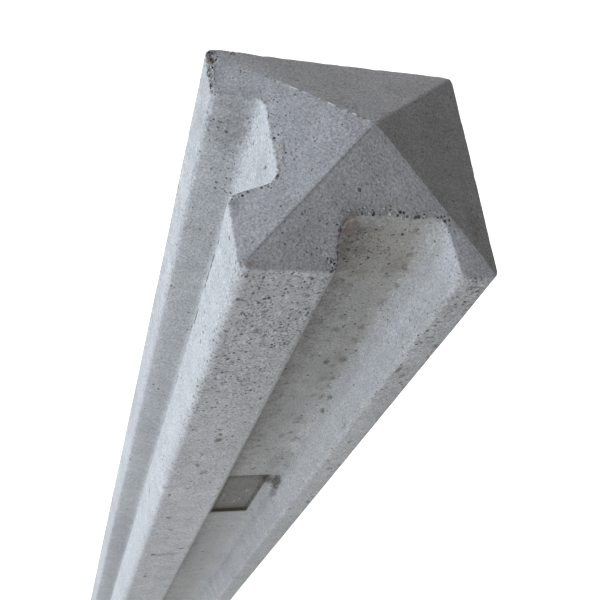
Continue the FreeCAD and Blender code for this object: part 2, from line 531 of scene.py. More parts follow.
class Casting:
    """Vertices of the post with their outward directions, and what each one shows."""

    def __init__(self, sizes, wear):
        self.sizes = sizes
        self.rng = np.random.default_rng(wear.seed)
        self.outline = Outline(sizes)
        self.shoulder = sizes.height - sizes.cap_rise
        self.build_wall()
        self.build_cap()
        self.shown = {key: np.zeros(len(self.points)) for key in SHOWN}
        self.show("cap", self.depth < 0.1 * MM)

    def show(self, key, amount):
        """Raise what each vertex shows of one kind to its amount of 0 to 1."""
        self.shown[key] = np.maximum(self.shown[key], np.clip(amount, 0, 1))

    def build_wall(self):
        """Rings of the wall from the cap's edge to the foot, with both edges rounded."""
        sizes, line = self.sizes, self.outline
        radius = sizes.cap_edge
        fade_length = 120 * MM
        steps = 4
        turns = [math.pi / 2 * k / steps for k in range(steps, 0, -1)]
        lift = cap_height(sizes, line.at[:, 0], line.at[:, 1]) - self.shoulder
        rings, outs, depths = [], [], []
        for turn in turns:
            place = line.at - line.out * radius * (1 - math.cos(turn))
            z = cap_height(sizes, place[:, 0], place[:, 1]) - radius * (1 - math.sin(turn))
            rings.append(np.column_stack((place, z)))
            outs.append(np.column_stack((line.out * math.cos(turn), np.full(len(z), math.sin(turn)))))
            depths.append(radius * (1 - math.sin(turn)))
        for depth in wall_rings(sizes):
            fade = 1 - smooth_step(0, fade_length, np.array(depth))
            z = self.shoulder - depth + lift * fade
            rings.append(np.column_stack((line.at, z)))
            outs.append(np.column_stack((line.out, np.zeros(len(z)))))
            depths.append(depth)
        foot = line.at - line.out * radius
        rings.append(np.column_stack((foot, np.zeros(len(foot)))))
        outs.append(np.tile((0.0, 0.0, -1.0), (len(foot), 1)))
        depths.append(self.shoulder)
        self.ring_count = len(rings)
        self.points = np.vstack(rings)
        self.outs = np.vstack(outs)
        self.depth = np.repeat(depths, len(line.at))
        self.column = np.tile(np.arange(len(line.at)), self.ring_count)

    def build_cap(self):
        """Cap and foot, filled inside the first and the last ring."""
        sizes = self.sizes
        count = len(self.outline.at)
        loop = self.points[:count, :2]
        inner = cap_points(sizes, loop, self.rng)
        z = cap_height(sizes, inner[:, 0], inner[:, 1])
        first = len(self.points)
        self.faces = []
        for k in range(self.ring_count - 1):
            for j in range(count):
                after = (j + 1) % count
                upper, lower = k * count, (k + 1) * count
                self.faces.append((lower + j, lower + after, upper + after, upper + j))
        for face in fill_loop(loop, inner):
            self.faces.append(tuple(i if i < count else first + i - count for i in face))
        last = (self.ring_count - 1) * count
        for face in fill_loop(self.points[last:, :2], np.zeros((0, 2))):
            self.faces.append(tuple(last + i for i in reversed(face)))
        self.points = np.vstack((self.points, np.column_stack((inner, z))))
        self.outs = np.vstack((self.outs, np.tile((0.0, 0.0, 1.0), (len(inner), 1))))
        gaps_to = np.linalg.norm(inner[:, None, :] - loop[None, :, :], axis=2)
        self.depth = np.concatenate((self.depth, -gaps_to.min(axis=1)))
        self.nearest = np.concatenate((self.column, gaps_to.argmin(axis=1)))
        self.column = np.concatenate((self.column, np.full(len(inner), -1)))

    def on_cap(self):
        """True for each vertex inside the cap's edge."""
        return self.column < 0

    def arris(self):
        """Closeness of each vertex to a rounded corner of the section."""
        return np.where(self.on_cap(), 0.0, self.outline.arris[self.column])

    def mark(self):
        """Corner, or corner and a half for the run after it, that each wall vertex belongs to."""
        return np.where(self.on_cap(), -1.0, self.outline.mark[self.column])

    def move(self, amount):
        """Move each vertex outwards by its amount."""
        self.points = self.points + self.outs * amount[:, None]

    def on_run(self, corner):
        """True for each wall vertex on the straight run after a corner."""
        return self.mark() == corner + 0.5

    def beside(self, first, last):
        """True for each vertex on the section from one corner to another, or on the cap next to it."""
        mark = self.outline.mark[self.nearest]
        return (mark >= first) & (mark <= last)

    def by_stretch(self, stretches, elsewhere):
        """Amount of each vertex, by the stretch of the section that it is beside."""
        amounts = np.full(len(self.points), elsewhere)
        for first, last, amount in stretches:
            amounts[self.beside(first, last)] = amount
        return amounts

    def past_mark(self):
        """How far each vertex is past the sunk field's sides in X and Z, and its height over the middle."""
        height = self.points[:, 2] - self.shoulder + self.sizes.mark_below
        across = np.abs(self.points[:, 0] - self.sizes.front_centre) - self.sizes.mark_width / 2
        return across, np.abs(height) - self.sizes.mark_length / 2, height

    def sink_mark(self):
        """Sink the bare field into the front slot's floor."""
        x, z, _ = self.past_mark()
        within = (1 - smooth_step(-MARK_EDGE, MARK_EDGE, x)) * (1 - smooth_step(-MARK_EDGE, MARK_EDGE, z))
        self.move(np.where(self.on_run(FRONT_NEAR_FLOOR), -self.sizes.mark_sink * within, 0.0))

    def wave(self, amount):
        """Slow unevenness of the mould's faces."""
        slow = cloud(self.points, 110 * MM, 2, 1.0)
        quick = cloud(self.points, 24 * MM, 2, 2.0)
        off_foot = smooth_step(0.0, 6 * MM, self.points[:, 2])
        self.move(amount * (slow + 0.3 * quick) * off_foot)

    def wear_near_wall(self, amount):
        """Wear the near wall of the front slot back under the cap, most of it deep in the slot.

        The cap's points beside the wall follow it, so that the slope stays whole.
        """
        x, y = self.points[:, 0], self.points[:, 1]
        farthest = self.sizes.front_centre - 45 * MM
        wall = self.beside(FRONT_NEAR_MOUTH, FRONT_NEAR_FLOOR + 0.5) & (x > farthest)
        deep = smooth_step(-48.5 * MM, -37 * MM, y)
        near = 1 - smooth_step(-2 * MM, 10 * MM, x)
        under = 1 - smooth_step(8 * MM, 70 * MM, self.depth)
        onward = 1 - smooth_step(0.0, 12 * MM, -self.depth)
        self.points[:, 0] -= np.where(wall, amount * deep * near * under * onward, 0.0)

    def lip_side_wall(self, amount):
        """Paste that stands out at the mouth of the side slot's near wall, just under the cap.

        The wall is worn a little at its foot, and the cap's points beside it follow.
        """
        wall = self.beside(SIDE_NEAR_FLOOR, SIDE_NEAR_MOUTH)
        worn = 0.35
        outward = 1 - smooth_step(-48 * MM, -33 * MM, self.points[:, 0])
        under = 1 - smooth_step(2 * MM, 24 * MM, self.depth)
        onward = 1 - smooth_step(0.0, 8 * MM, -self.depth)
        share = (1 + worn) * outward - worn
        self.points[:, 1] += np.where(wall, amount * share * under * onward, 0.0)

    def raise_flash(self, amount):
        """Broken fin of paste on the ridge above the left arris, dark where the fin is broken, a painted
        shadow line on the inner ridge and a worn pale line on the right one.
        """
        broken = smooth_step(-0.25, 0.2, cloud(self.points, 2.2 * MM, 3, 3.0))
        inner = self.on_ridge(0, 0.75 * MM)
        right = self.on_ridge(1, 0.7 * MM)
        left = self.on_ridge(3, 0.85 * MM)
        along = ridge_run(self.sizes, self.points[:, :2], 3)[1]
        fin = left * broken * smooth_step(0.68, 0.55, along)
        self.move(amount * fin)
        self.show("pale", fin)
        self.show("dirt_and_shade", 0.6 * left * (1 - broken) * smooth_step(0.7, 0.6, along))
        # Painted shadow: a dark line along the inner ridge
        self.show("film_and_shade", 0.52 * inner)
        self.show("pale", right * (0.6 + 0.35 * broken))

    def on_ridge(self, corner, reach):
        """Closeness of each vertex to one ridge of the cap."""
        off, along = ridge_run(self.sizes, self.points[:, :2], corner)
        ends = smooth_step(0.0, 0.05, along) * smooth_step(0.98, 0.85, along)
        return np.where(self.on_cap(), ends * (1 - smooth_step(0.1 * MM, reach, off)), 0.0)

    def crumble(self, amount):
        """Uneven, crumbly edges where the faces meet the cap and down the arrises."""
        edge = 1 - smooth_step(0.0, 2.6 * MM, np.abs(self.depth))
        ragged = (self.mark() == SIDE_NEAR_MOUTH) * (1 - smooth_step(150 * MM, 420 * MM, self.depth))
        down = self.arris() * (0.35 + 1.3 * ragged)
        bite = np.clip(cloud(self.points, 3.2 * MM, 3, 4.0) - 0.05, 0, None)
        patch = smooth_step(-0.2, 0.5, cloud(self.points, 30 * MM, 2, 5.0))
        self.move(-amount * np.maximum(edge, down) * bite * (0.35 + 0.65 * patch))

    def soil_and_shade_edges(self):
        """Dark line along the cap's edge, most at the slots: dirt, and painted shadow along the front slot's
        near wall; and a pale worn mouth arris beside a dark line.
        """
        line = 1 - smooth_step(0.2 * MM, 1.4 * MM, np.abs(self.depth))
        elsewhere = 0.22
        # The front slot's near wall has the darkest line, painted shadow at that edge
        strengths = (
            (FRONT_NEAR_MOUTH, FRONT_NEAR_FLOOR, 0.72),
            (FRONT_NEAR_FLOOR, FRONT_FAR_FLOOR, 0.32),
            (LEFT_ARRIS, SIDE_FAR_MOUTH, 0.50),
            (SIDE_FAR_MOUTH, SIDE_FAR_FLOOR, 0.36),
            (SIDE_FAR_FLOOR, SIDE_NEAR_FLOOR, 0.40),
            (SIDE_NEAR_FLOOR, SIDE_NEAR_MOUTH, 0.52),
        )
        self.show("dirt_and_shade", line * self.by_stretch(strengths, elsewhere))
        mouth = self.mark() == SIDE_NEAR_MOUTH
        worn = smooth_step(-0.3, 0.3, cloud(self.points, 9 * MM, 3, 9.0))
        self.show("pale", 0.75 * self.arris() * mouth * worn)
        faceward = mouth * smooth_step(0.68, 0.85, -self.outs[:, 0])
        upper = smooth_step(1 * MM, 5 * MM, self.depth) * (1 - smooth_step(90 * MM, 300 * MM, self.depth))
        patchy = smooth_step(-0.2, 0.3, cloud(self.points, 14 * MM, 3, 12.0))
        self.show("dirt_and_shade", 0.8 * faceward * upper * patchy)

    def soil_and_shade_mark(self):
        """Darker film inside the sunk field, deeper along its top and foot as painted shade of the sunk
        edges, and a dark rim along the sides of its lower half.
        """
        x, z, height = self.past_mark()
        on_floor = self.on_run(FRONT_NEAR_FLOOR)
        rim = 0.55 * (1 - smooth_step(0.4 * MM, 2.4 * MM, np.abs(x + 0.6 * MM)))
        # Painted shade: the film deepens along the field's top and foot, under its sunk edges
        band = 1 - smooth_step(0.6 * MM, 11 * MM, np.abs(z))
        deeper = band * np.where(height > 0, 0.26, 0.38)
        self.show("film_and_shade", on_floor * (0.56 + deeper) * (np.maximum(x, z) < 0.7 * MM))
        self.show("dirt_and_shade", on_floor * rim * (z < 0))

    def near(self, place, reach):
        """Closeness to a place in mm, with Z from the cap's edge: 1 there, and 0 beyond the reach in mm."""
        centre = np.array(place) * MM + (0, 0, self.shoulder)
        return 1 - smooth_step(0.3 * reach * MM, reach * MM, np.linalg.norm(self.points - centre, axis=1))

    def crumb_edges(self):
        """Where the casting crumbles: clumps along the slots' upper edges, and the worst spots listed one by
        one.

        A spot has a place in mm with Z from the cap's edge, a reach in mm and a share of air voids.
        """
        edge = 1 - smooth_step(0.6 * MM, 2.2 * MM, np.abs(self.depth + 0.5 * MM))
        clumps = smooth_step(-0.35, 0.15, cloud(self.points, 4.5 * MM, 2, 11.0))
        rows = (
            (FRONT_NEAR_FLOOR, FRONT_FAR_FLOOR, 1.0),
            (LEFT_ARRIS, SIDE_FAR_MOUTH, 0.7),
            (SIDE_FAR_FLOOR, SIDE_NEAR_FLOOR, 0.3),
            (SIDE_NEAR_FLOOR, SIDE_NEAR_MOUTH, 0.8),
        )
        crumbly = self.by_stretch(rows, 0.0) * edge * clumps
        pitted = crumbly
        spots = (
            ((-14, -47.5, 1.2), 4.5, 1.0),
            ((-30, 2.5, 8.8), 2.6, 0.15),
            ((-29.8, -2.5, 8.8), 2.6, 0.15),
            ((-29.6, -8, 8.8), 2.2, 0.15),
            ((-50.5, 44, 1), 5.5, 1.0),
            ((-51.5, 38, 0.5), 3.5, 1.0),
            ((-43, 48.6, 0.8), 4.0, 1.0),
            ((-36, 49, 0.8), 3.0, 1.0),
        )
        for place, reach, voids in spots:
            closeness = self.near(place, reach)
            crumbly = np.maximum(crumbly, closeness)
            pitted = np.maximum(pitted, voids * closeness)
        self.show("coarse", crumbly)
        self.show("void_share", pitted)
        self.show("crumb_share", crumbly)
        inward = -self.depth
        above = smooth_step(0.2 * MM, 0.5 * MM, inward) * (1 - smooth_step(1.4 * MM, 2.2 * MM, inward))
        front = self.beside(FRONT_NEAR_FLOOR, FRONT_FAR_FLOOR)
        self.show("pale", 0.6 * front * above * clumps)
        self.show("dirt_and_shade", 0.6 * self.near((-13.4, -47, 1.4), 4.0))

    def scoop(self, at, out, radius, depth):
        """Break a shell-shaped flake out of the casting at a place on an edge."""
        out = unit(np.array(out, float))
        centre = np.array(at) + out * (radius - depth)
        offset = self.points - centre
        along = offset @ out
        aside = (offset ** 2).sum(axis=1) - along ** 2
        held = np.sqrt(np.clip(radius ** 2 - aside, 0, None))
        cut = np.clip(along + held, 0, None) * (aside < radius ** 2)
        reach = np.linalg.norm(self.points - np.array(at), axis=1) < 2.5 * radius
        cut = np.where(reach, cut, 0.0)
        grain = 0.22 * MM * cloud(self.points[cut > 0], 2.2 * MM, 2, 6.0)
        cut[cut > 0] = np.clip(cut[cut > 0] + grain, 0, None)
        self.points = self.points - out * cut[:, None]
        self.show("broken", smooth_step(0.1 * MM, 0.5 * MM, cut))

    def chip_corners(self):
        """The pitted left corner of the cap, the notch at the inner corner and other listed knocks.

        A knock has a corner, an offset from it in mm, the way it faces, a radius and a depth in mm.
        """
        inner, right, back, left = plan_corners(self.sizes)
        knocks = (
            (left, (2.8, -6.4, 1.8), (-0.3, 0, 1), 2.2, 1.4),
            (left, (0.8, -11, 0), (-1, 0, 1), 1.6, 0.6),
            (left, (0.9, -14.2, 0), (-1, 0, 1), 1.3, 0.5),
            (left, (11, 0, 0), (0, 1, 1), 1.6, 0.5),
            (left, (1.2, -21, 0), (-1, -0.6, 0.8), 2.0, 0.6),
            (inner, (1.2, 1.2, 0), (-1, -1, 1.2), 3, 0.6),
            (right, (0, 0, 0), (1, -1, 0.8), 4, 0.9),
            (back, (0, 0, 0), (1, 1, 0.8), 5, 1.3),
        )
        for corner, offset, out, radius, depth in knocks:
            at = np.array((*corner, self.shoulder)) + np.array(offset) * MM
            self.scoop(at, out, radius * MM, depth * MM)

    def chip_edges(self, seed):
        """Small knocks at random along the arrises and the cap's edges."""
        rng = random.Random(seed)
        corners = section_corners(self.sizes)
        arrises = [INNER_ARRIS, FRONT_NEAR_MOUTH, FRONT_FAR_MOUTH, RIGHT_ARRIS, BACK_ARRIS, LEFT_ARRIS,
                   SIDE_FAR_MOUTH, SIDE_NEAR_MOUTH]
        knocks = 45
        towards_top = 2.2
        rounded_off = 0.3
        highest = 4 * MM
        span = self.shoulder - 30 * MM
        for _ in range(knocks):
            i = rng.choice(arrises)
            x, y, inset = corners[i]
            below = span * rng.random() ** towards_top + highest
            ahead = Vector((x, y)) - Vector(corners[i - 1][:2])
            behind = Vector((x, y)) - Vector(corners[(i + 1) % len(corners)][:2])
            out = ahead.normalized() + behind.normalized()
            size = rng.uniform(1.2, 3.6) * MM
            edge = out.normalized() * inset * rounded_off
            at = (x - edge.x, y - edge.y, self.shoulder - below)
            tilt = rng.uniform(-0.4, 0.4)
            self.scoop(at, (out.x, out.y, tilt), size, rng.uniform(0.12, 0.3) * size)

    def void_share(self):
        """Share of the greatest density of air voids that each vertex gets."""
        below = self.shoulder - self.points[:, 2]
        patch = smooth_step(-0.3, 0.5, cloud(self.points, 26 * MM, 2, 8.0))
        share = 0.002 + 0.017 * patch * (1 - smooth_step(60 * MM, 700 * MM, below))
        share = np.where(self.on_cap(), 0.01 + 0.035 * patch, share)
        far_wall = self.beside(SIDE_FAR_MOUTH, SIDE_FAR_FLOOR) & ~self.on_cap()
        share = np.where(far_wall, 0.3 * share, share)
        speckled = self.on_run(INNER_ARRIS) * (1 - smooth_step(70 * MM, 420 * MM, below))
        share = np.maximum(share, speckled * (0.05 + 0.09 * patch))
        floor = self.on_run(FRONT_NEAR_FLOOR) * (1 - smooth_step(15 * MM, 90 * MM, below))
        return np.maximum(share, floor * 0.06 * patch)

    def mesh(self, name):
        """The casting as a closed mesh with its attributes."""
        mesh = bpy.data.meshes.new(name)
        mesh.from_pydata(self.points.tolist(), [], self.faces)
        mesh.polygons.foreach_set("use_smooth", np.ones(len(mesh.polygons), bool))
        self.show("void_share", self.void_share())
        for key, values in self.shown.items():
            attribute = mesh.attributes.new(key, "FLOAT", "POINT")
            attribute.data.foreach_set("value", values.astype(np.float32))
        mesh.update()
        return mesh


def add(tree, kind, inputs=None, out=0, **settings):
    """Add a node, set it up and fill its inputs with values or outputs. Gives one output, or the node."""
    node = tree.nodes.new(kind)
    for key, value in settings.items():
        setattr(node, key, value)
    for key, value in (inputs or {}).items():
        if isinstance(value, bpy.types.NodeSocket):
            tree.links.new(value, node.inputs[key])
        else:
            node.inputs[key].default_value = value
    return node if out is None else node.outputs[out]


def strewn(tree, given, kind, bulk):
    """Balls of one kind, strewn by the share that the vertices carry, and larger where they are coarse."""
    gap = add(tree, "ShaderNodeMath", {0: given["Gap"], 1: bulk}, operation="MULTIPLY")
    share, coarse = [
        add(tree, "GeometryNodeInputNamedAttribute", {"Name": name}, data_type="FLOAT")
        for name in (kind + "_share", "coarse")
    ]
    spread = add(tree, "GeometryNodeDistributePointsOnFaces", {
        "Mesh": given["Casting"],
        "Distance Min": gap,
        "Density Max": given["Density"],
        "Density Factor": share,
        "Seed": given["Seed"],
    }, out="Points", distribute_method="POISSON")
    ball = add(tree, "GeometryNodeMeshIcoSphere", {"Radius": bulk, "Subdivisions": 1}, out="Mesh")
    lined = add(tree, "GeometryNodeStoreNamedAttribute", {
        "Geometry": ball, "Name": kind, "Value": 1.0}, data_type="FLOAT", domain="FACE")
    chance = add(tree, "FunctionNodeRandomValue", {"Seed": given["Seed"]}, out=1, data_type="FLOAT")
    few_large = add(tree, "ShaderNodeMath", {0: chance, 1: 2.6}, operation="POWER")
    radius = add(tree, "ShaderNodeMapRange", {
        "Value": few_large, "To Min": given["Smallest"], "To Max": given["Largest"]})
    larger = add(tree, "ShaderNodeMath", {0: radius, 1: coarse, 2: radius}, operation="MULTIPLY_ADD")
    squash = add(tree, "FunctionNodeRandomValue", {0: (0.8, 0.8, 0.7), 1: (1.3, 1.3, 1.1)},
                 data_type="FLOAT_VECTOR")
    size = add(tree, "ShaderNodeVectorMath", {0: squash, "Scale": larger}, operation="SCALE")
    full_turn = [6.283] * 3
    turn = add(tree, "FunctionNodeRandomValue", {1: full_turn}, data_type="FLOAT_VECTOR")
    balls = add(tree, "GeometryNodeInstanceOnPoints", {
        "Points": spread, "Instance": lined, "Rotation": turn, "Scale": size})
    return add(tree, "GeometryNodeRealizeInstances", {"Geometry": balls})


def air_void_tree():
    """Node tree that cuts air voids out of a casting and leaves crumbs on it."""
    tree = bpy.data.node_groups.new("air_voids_and_crumbs", "GeometryNodeTree")
    sockets = (
        ("Casting", "NodeSocketGeometry"),
        ("Smallest", "NodeSocketFloat"),
        ("Largest", "NodeSocketFloat"),
        ("Gap", "NodeSocketFloat"),
        ("Density", "NodeSocketFloat"),
        ("Seed", "NodeSocketInt"),
        ("Concrete", "NodeSocketMaterial"),
    )
    for name, kind in sockets:
        tree.interface.new_socket(name, in_out="INPUT", socket_type=kind)
    tree.interface.new_socket("Casting", in_out="OUTPUT", socket_type="NodeSocketGeometry")
    given = add(tree, "NodeGroupInput", out=None).outputs
    later = {socket.name: socket for socket in given}
    later["Seed"] = add(tree, "ShaderNodeMath", {0: given["Seed"], 1: 1.0}, operation="ADD")
    crumbly = add(tree, "GeometryNodeMeshBoolean", {
        "Mesh 2": strewn(tree, later, "crumb", 0.7)}, out=None, operation="UNION", solver="MANIFOLD")
    tree.links.new(given["Casting"], crumbly.inputs["Mesh 2"])
    pitted = add(tree, "GeometryNodeMeshBoolean", {
        "Mesh 1": crumbly.outputs["Mesh"], "Mesh 2": strewn(tree, given, "void", 1.0),
    }, out="Mesh", operation="DIFFERENCE", solver="MANIFOLD")
    solid = add(tree, "GeometryNodeRealizeInstances", {"Geometry": pitted})
    clad = add(tree, "GeometryNodeSetMaterial", {"Geometry": solid, "Material": given["Concrete"]})
    add(tree, "NodeGroupOutput", {"Casting": clad}, out=None)
    return tree


def cut_air_voids(post, wear, concrete):
    """Run the air void tree on the post and keep its result as a plain mesh."""
    tree = air_void_tree()
    values = {
        "Smallest": wear.void_small,
        "Largest": wear.void_large,
        "Gap": wear.void_gap,
        "Density": wear.void_density,
        "Seed": wear.seed,
        "Concrete": concrete,
    }
    modifier = post.modifiers.new("air_voids", "NODES")
    modifier.node_group = tree
    for item in tree.interface.items_tree:
        if item.in_out == "INPUT" and item.name in values:
            modifier[item.identifier] = values[item.name]
    depsgraph = bpy.context.evaluated_depsgraph_get()
    cut = bpy.data.meshes.new_from_object(post.evaluated_get(depsgraph))
    post.modifiers.remove(modifier)
    if len(cut.polygons) < len(post.data.polygons):
        raise RuntimeError("the air voids did not cut the casting")
    plain = post.data
    post.data = cut
    bpy.data.meshes.remove(plain)
    cut.name = PIECE
    crease = math.radians(42)
    cut.set_sharp_from_angle(angle=crease)


class Paint:
    """Colour of the concrete, built up in coats by nodes, and what the coats are laid out by."""
    # How far the noise pulls specks and smears about
    SHAKE = 1.0 * MM
    STRAY = 5.0 * MM

    def __init__(self, tree, colours, shoulder):
        self.tree = tree
        self.tints = {key: (*getattr(colours, key), 1) for key in PostColours.__annotations__}
        self.shoulder = shoulder
        self.place = add(tree, "ShaderNodeTexCoord", out="Object")
        rough = add(tree, "ShaderNodeTexNoise", {
            "Vector": self.place, "Scale": 1 / (4 * MM), "Detail": 3.0}, out="Color")
        self.noise = add(tree, "ShaderNodeVectorMath", {0: rough, 1: (0.5, 0.5, 0.5)}, operation="SUBTRACT")
        self.ragged = add(tree, "ShaderNodeVectorMath", {0: self.noise, "Scale": 1.6}, operation="SCALE")
        self.crumbs = self.clouds((1.5, 1.5, 1.8), 0.0, 1.0)
        self.shown = {
            key: add(tree, "ShaderNodeAttribute", out="Fac", attribute_name=key)
            for key in ("cap", "dirt_and_shade", "pale", "film_and_shade", "broken", "crumb", "void")
        }
        self.colour = self.tints["paste"]

    def lay(self, tint, share, strength=1.0):
        """Lay a tint by its name, or the output of a node, over the colour so far."""
        coat = self.tints[tint] if isinstance(tint, str) else tint
        held = add(self.tree, "ShaderNodeMath", {0: share, 1: strength},
                   operation="MULTIPLY", use_clamp=True)
        self.colour = add(self.tree, "ShaderNodeMix", {0: held, 6: self.colour, 7: coat}, out=2,
                          data_type="RGBA")

    def clouds(self, size, low, high, detail=3.0):
        """Clouds of a size in mm along X, Y and Z, as values from low to high."""
        where = add(self.tree, "ShaderNodeMapping", {
            "Vector": self.place, "Scale": [1 / (side * MM) for side in size]})
        level = add(self.tree, "ShaderNodeTexNoise", {
            "Vector": where, "Scale": 1.0, "Detail": detail}, out="Fac")
        return add(self.tree, "ShaderNodeMapRange", {
            "Value": level, "From Min": 0.3, "From Max": 0.7, "To Min": low, "To Max": high})

    def specks(self, shift, size, share, largest, rim=0.15):
        """Specks of random radius and tone in a share of the cells of a size in mm.

        The noise pulls them about. The largest radius and the soft rim are in cells.
        """
        tree = self.tree
        aside = add(tree, "ShaderNodeVectorMath", {0: self.noise, "Scale": shift}, operation="SCALE")
        place = add(tree, "ShaderNodeVectorMath", {0: self.place, 1: aside}, operation="ADD")
        where = add(tree, "ShaderNodeMapping", {
            "Vector": place, "Scale": [1 / (side * MM) for side in size]})
        cells = add(tree, "ShaderNodeTexVoronoi", {"Vector": where, "Scale": 1.0}, out=None).outputs
        chance = add(tree, "ShaderNodeSeparateColor", {"Color": cells["Color"]}, out=None).outputs
        kept = add(tree, "ShaderNodeMath", {0: share, 1: 0.001}, operation="MAXIMUM")
        fewest = add(tree, "ShaderNodeMath", {0: 1.0, 1: kept}, operation="SUBTRACT")
        radius = add(tree, "ShaderNodeMapRange", {
            "Value": chance[0], "From Min": fewest, "From Max": 1.0, "To Max": largest})
        inward = add(tree, "ShaderNodeMath", {0: radius, 1: cells["Distance"]}, operation="SUBTRACT")
        tone = add(tree, "ShaderNodeMapRange", {"Value": chance[1], "To Min": 0.3})
        return add(tree, "ShaderNodeMapRange", {"Value": inward, "From Max": rim, "To Max": tone})

    def blot(self, at, size):
        """Ragged blot about a place in mm with Z from the cap's edge, of half sizes in mm: 0 outside it."""
        middle = (at[0] * MM, at[1] * MM, self.shoulder + at[2] * MM)
        within = add(self.tree, "ShaderNodeMapping", {
            "Vector": self.place, "Location": middle, "Scale": [side * MM for side in size],
        }, vector_type="TEXTURE")
        pulled = add(self.tree, "ShaderNodeVectorMath", {0: within, 1: self.ragged}, operation="ADD")
        reach = add(self.tree, "ShaderNodeVectorMath", {0: pulled}, out="Value", operation="LENGTH")
        return add(self.tree, "ShaderNodeMapRange", {"Value": reach, "From Min": 1.15, "From Max": 0.5})

    def mould(self):
        """Cement paste: clouds, then rain streaks, mould bands, mottle and sand grain by their swing."""
        self.lay("shade", self.clouds((90, 90, 160), 0.0, 0.75, 5.0))
        self.lay("cap", self.shown["cap"])
        layers = (
            ((14, 14, 320), 0.05, 2.0),
            ((70, 70, 12), 0.035, 2.0),
            ((9, 9, 9), 0.08, 4.0),
            ((0.9, 0.9, 1.1), 0.30, 3.0),
        )
        for size, swing, detail in layers:
            layer = self.clouds(size, 1 - swing, 1 + swing, detail)
            self.colour = add(self.tree, "ShaderNodeMix", {0: 1.0, 6: self.colour, 7: layer}, out=2,
                              data_type="RGBA", blend_type="MULTIPLY")

    def stain(self):
        """Stains, with the painted shade and painted light in their table, broken up by crumbs."""
        thinnest = 0.67
        for tint, at, size, strength in STAINS:
            share = self.blot(at, size)
            broken_up = add(self.tree, "ShaderNodeMath", {0: share, 1: self.crumbs, 2: share},
                            operation="MULTIPLY_ADD")
            self.lay(tint, broken_up, thinnest * strength)

    def speckle(self):
        """Dark specks that paint the shade of fine pits and the dirt in them, close in some patches and few
        on the cap, and pale grains of sand.

        Gives the pits.
        """
        tree, cap = self.tree, self.shown["cap"]
        walls = add(tree, "ShaderNodeMath", {0: 1.0, 1: cap}, operation="SUBTRACT")
        dark = self.clouds((35, 35, 30), -0.03, 0.16)
        pale = dark
        patches = [(walls, *row) for row in SPECKLED] + [(cap, *row) for row in SPECKLED_CAP]
        for part, at, size, more_dark, more_pale in patches:
            patch = add(tree, "ShaderNodeMath", {0: self.blot(at, size), 1: part}, operation="MULTIPLY")
            dark, pale = [
                add(tree, "ShaderNodeMath", {0: patch, 1: more, 2: share}, operation="MULTIPLY_ADD")
                for more, share in ((more_dark, dark), (more_pale, pale))
            ]
        height = add(tree, "ShaderNodeSeparateXYZ", {"Vector": self.place}, out="Z")
        fewer_below = add(tree, "ShaderNodeMapRange", {
            "Value": height, "From Min": self.shoulder - 250 * MM, "From Max": self.shoulder - 50 * MM,
            "To Min": 0.3})
        clusters = self.clouds((11, 11, 8), 0.35, 1.6)
        for layer in (clusters, fewer_below):
            dark = add(tree, "ShaderNodeMath", {0: dark, 1: layer}, operation="MULTIPLY")
        pits = 0.0
        for size, on_walls, on_cap, largest in SPECK_LAYERS:
            often = add(tree, "ShaderNodeMapRange", {"Value": cap, "To Min": on_walls, "To Max": on_cap})
            share = add(tree, "ShaderNodeMath", {0: dark, 1: often}, operation="MULTIPLY")
            layer = self.specks(self.SHAKE, size, share, largest)
            pits = add(tree, "ShaderNodeMath", {0: pits, 1: layer}, operation="MAXIMUM")
        depth = add(tree, "ShaderNodeMapRange", {"Value": cap, "To Min": 0.95, "To Max": 0.78})
        # Painted shade: the pits darkened in the colour, with their dirt
        self.lay("dirt_and_shade", pits, depth)
        clean = add(tree, "ShaderNodeMapRange", {
            "Value": self.shown["film_and_shade"], "To Min": 0.58, "To Max": 0.0})
        self.lay("laitance_and_light", self.specks(self.SHAKE, (1.8, 1.8, 2.2), pale, 0.6), clean)
        return pits

    def smear(self):
        """Soft smears, most of them down the far side of the front slot's floor."""
        share = 0.0
        for at, size, more in SMEARED:
            share = add(self.tree, "ShaderNodeMath", {0: self.blot(at, size), 1: more, 2: share},
                        operation="MULTIPLY_ADD")
        self.lay("grime_and_shade", self.specks(self.STRAY, SMEAR_CELL, share, 0.7, 0.5), 0.9)

    def stones(self):
        """Colours of the sand and stones that a break bares."""
        cells = add(self.tree, "ShaderNodeTexVoronoi", {
            "Vector": self.place, "Scale": 1 / (2.6 * MM)}, out="Color")
        pick = add(self.tree, "ShaderNodeSeparateColor", {"Color": cells})
        ramp = add(self.tree, "ShaderNodeValToRGB", {0: pick}, out=None)
        ramp.color_ramp.interpolation = "CONSTANT"
        steps = ramp.color_ramp.elements
        steps[0].color = self.tints["shade"]
        steps[1].position = 0.5
        steps[1].color = self.tints["sand"]
        steps.new(0.65).color = self.tints["stain"]
        steps.new(0.85).color = self.tints["stone"]
        return ramp.outputs[0]

    def weather(self):
        """What the vertices carry: dark edges of dirt and painted shade, worn edges, film with painted
        shade, breaks, crumbs, and air voids darkened as painted shade.
        """
        thicker = 1.6
        for key, tint in (("dirt_and_shade", "dirt_and_shade"), ("pale", "laitance_and_light")):
            shown = self.shown[key]
            left = add(self.tree, "ShaderNodeMath", {0: shown, 1: self.crumbs}, operation="SUBTRACT")
            held = add(self.tree, "ShaderNodeMapRange", {
                "Value": left, "From Min": -0.25, "From Max": 0.3, "To Max": 0.8})
            seen = add(self.tree, "ShaderNodeMath", {0: held, 1: shown}, operation="MULTIPLY")
            self.lay(tint, seen, thicker)
        self.lay("grime_and_shade", self.shown["film_and_shade"])
        self.lay(self.stones(), self.shown["broken"], 0.6)
        self.lay("laitance_and_light", self.shown["crumb"], 0.3)
        # Painted shade: the inside of each air void darkened, with the dirt in it
        self.lay("dirt_and_shade", self.shown["void"], 0.6)


def empty_tree(owner):
    """Node tree of a material or a world, cleared of what it starts with."""
    owner.use_nodes = True
    owner.node_tree.nodes.clear()
    return owner.node_tree


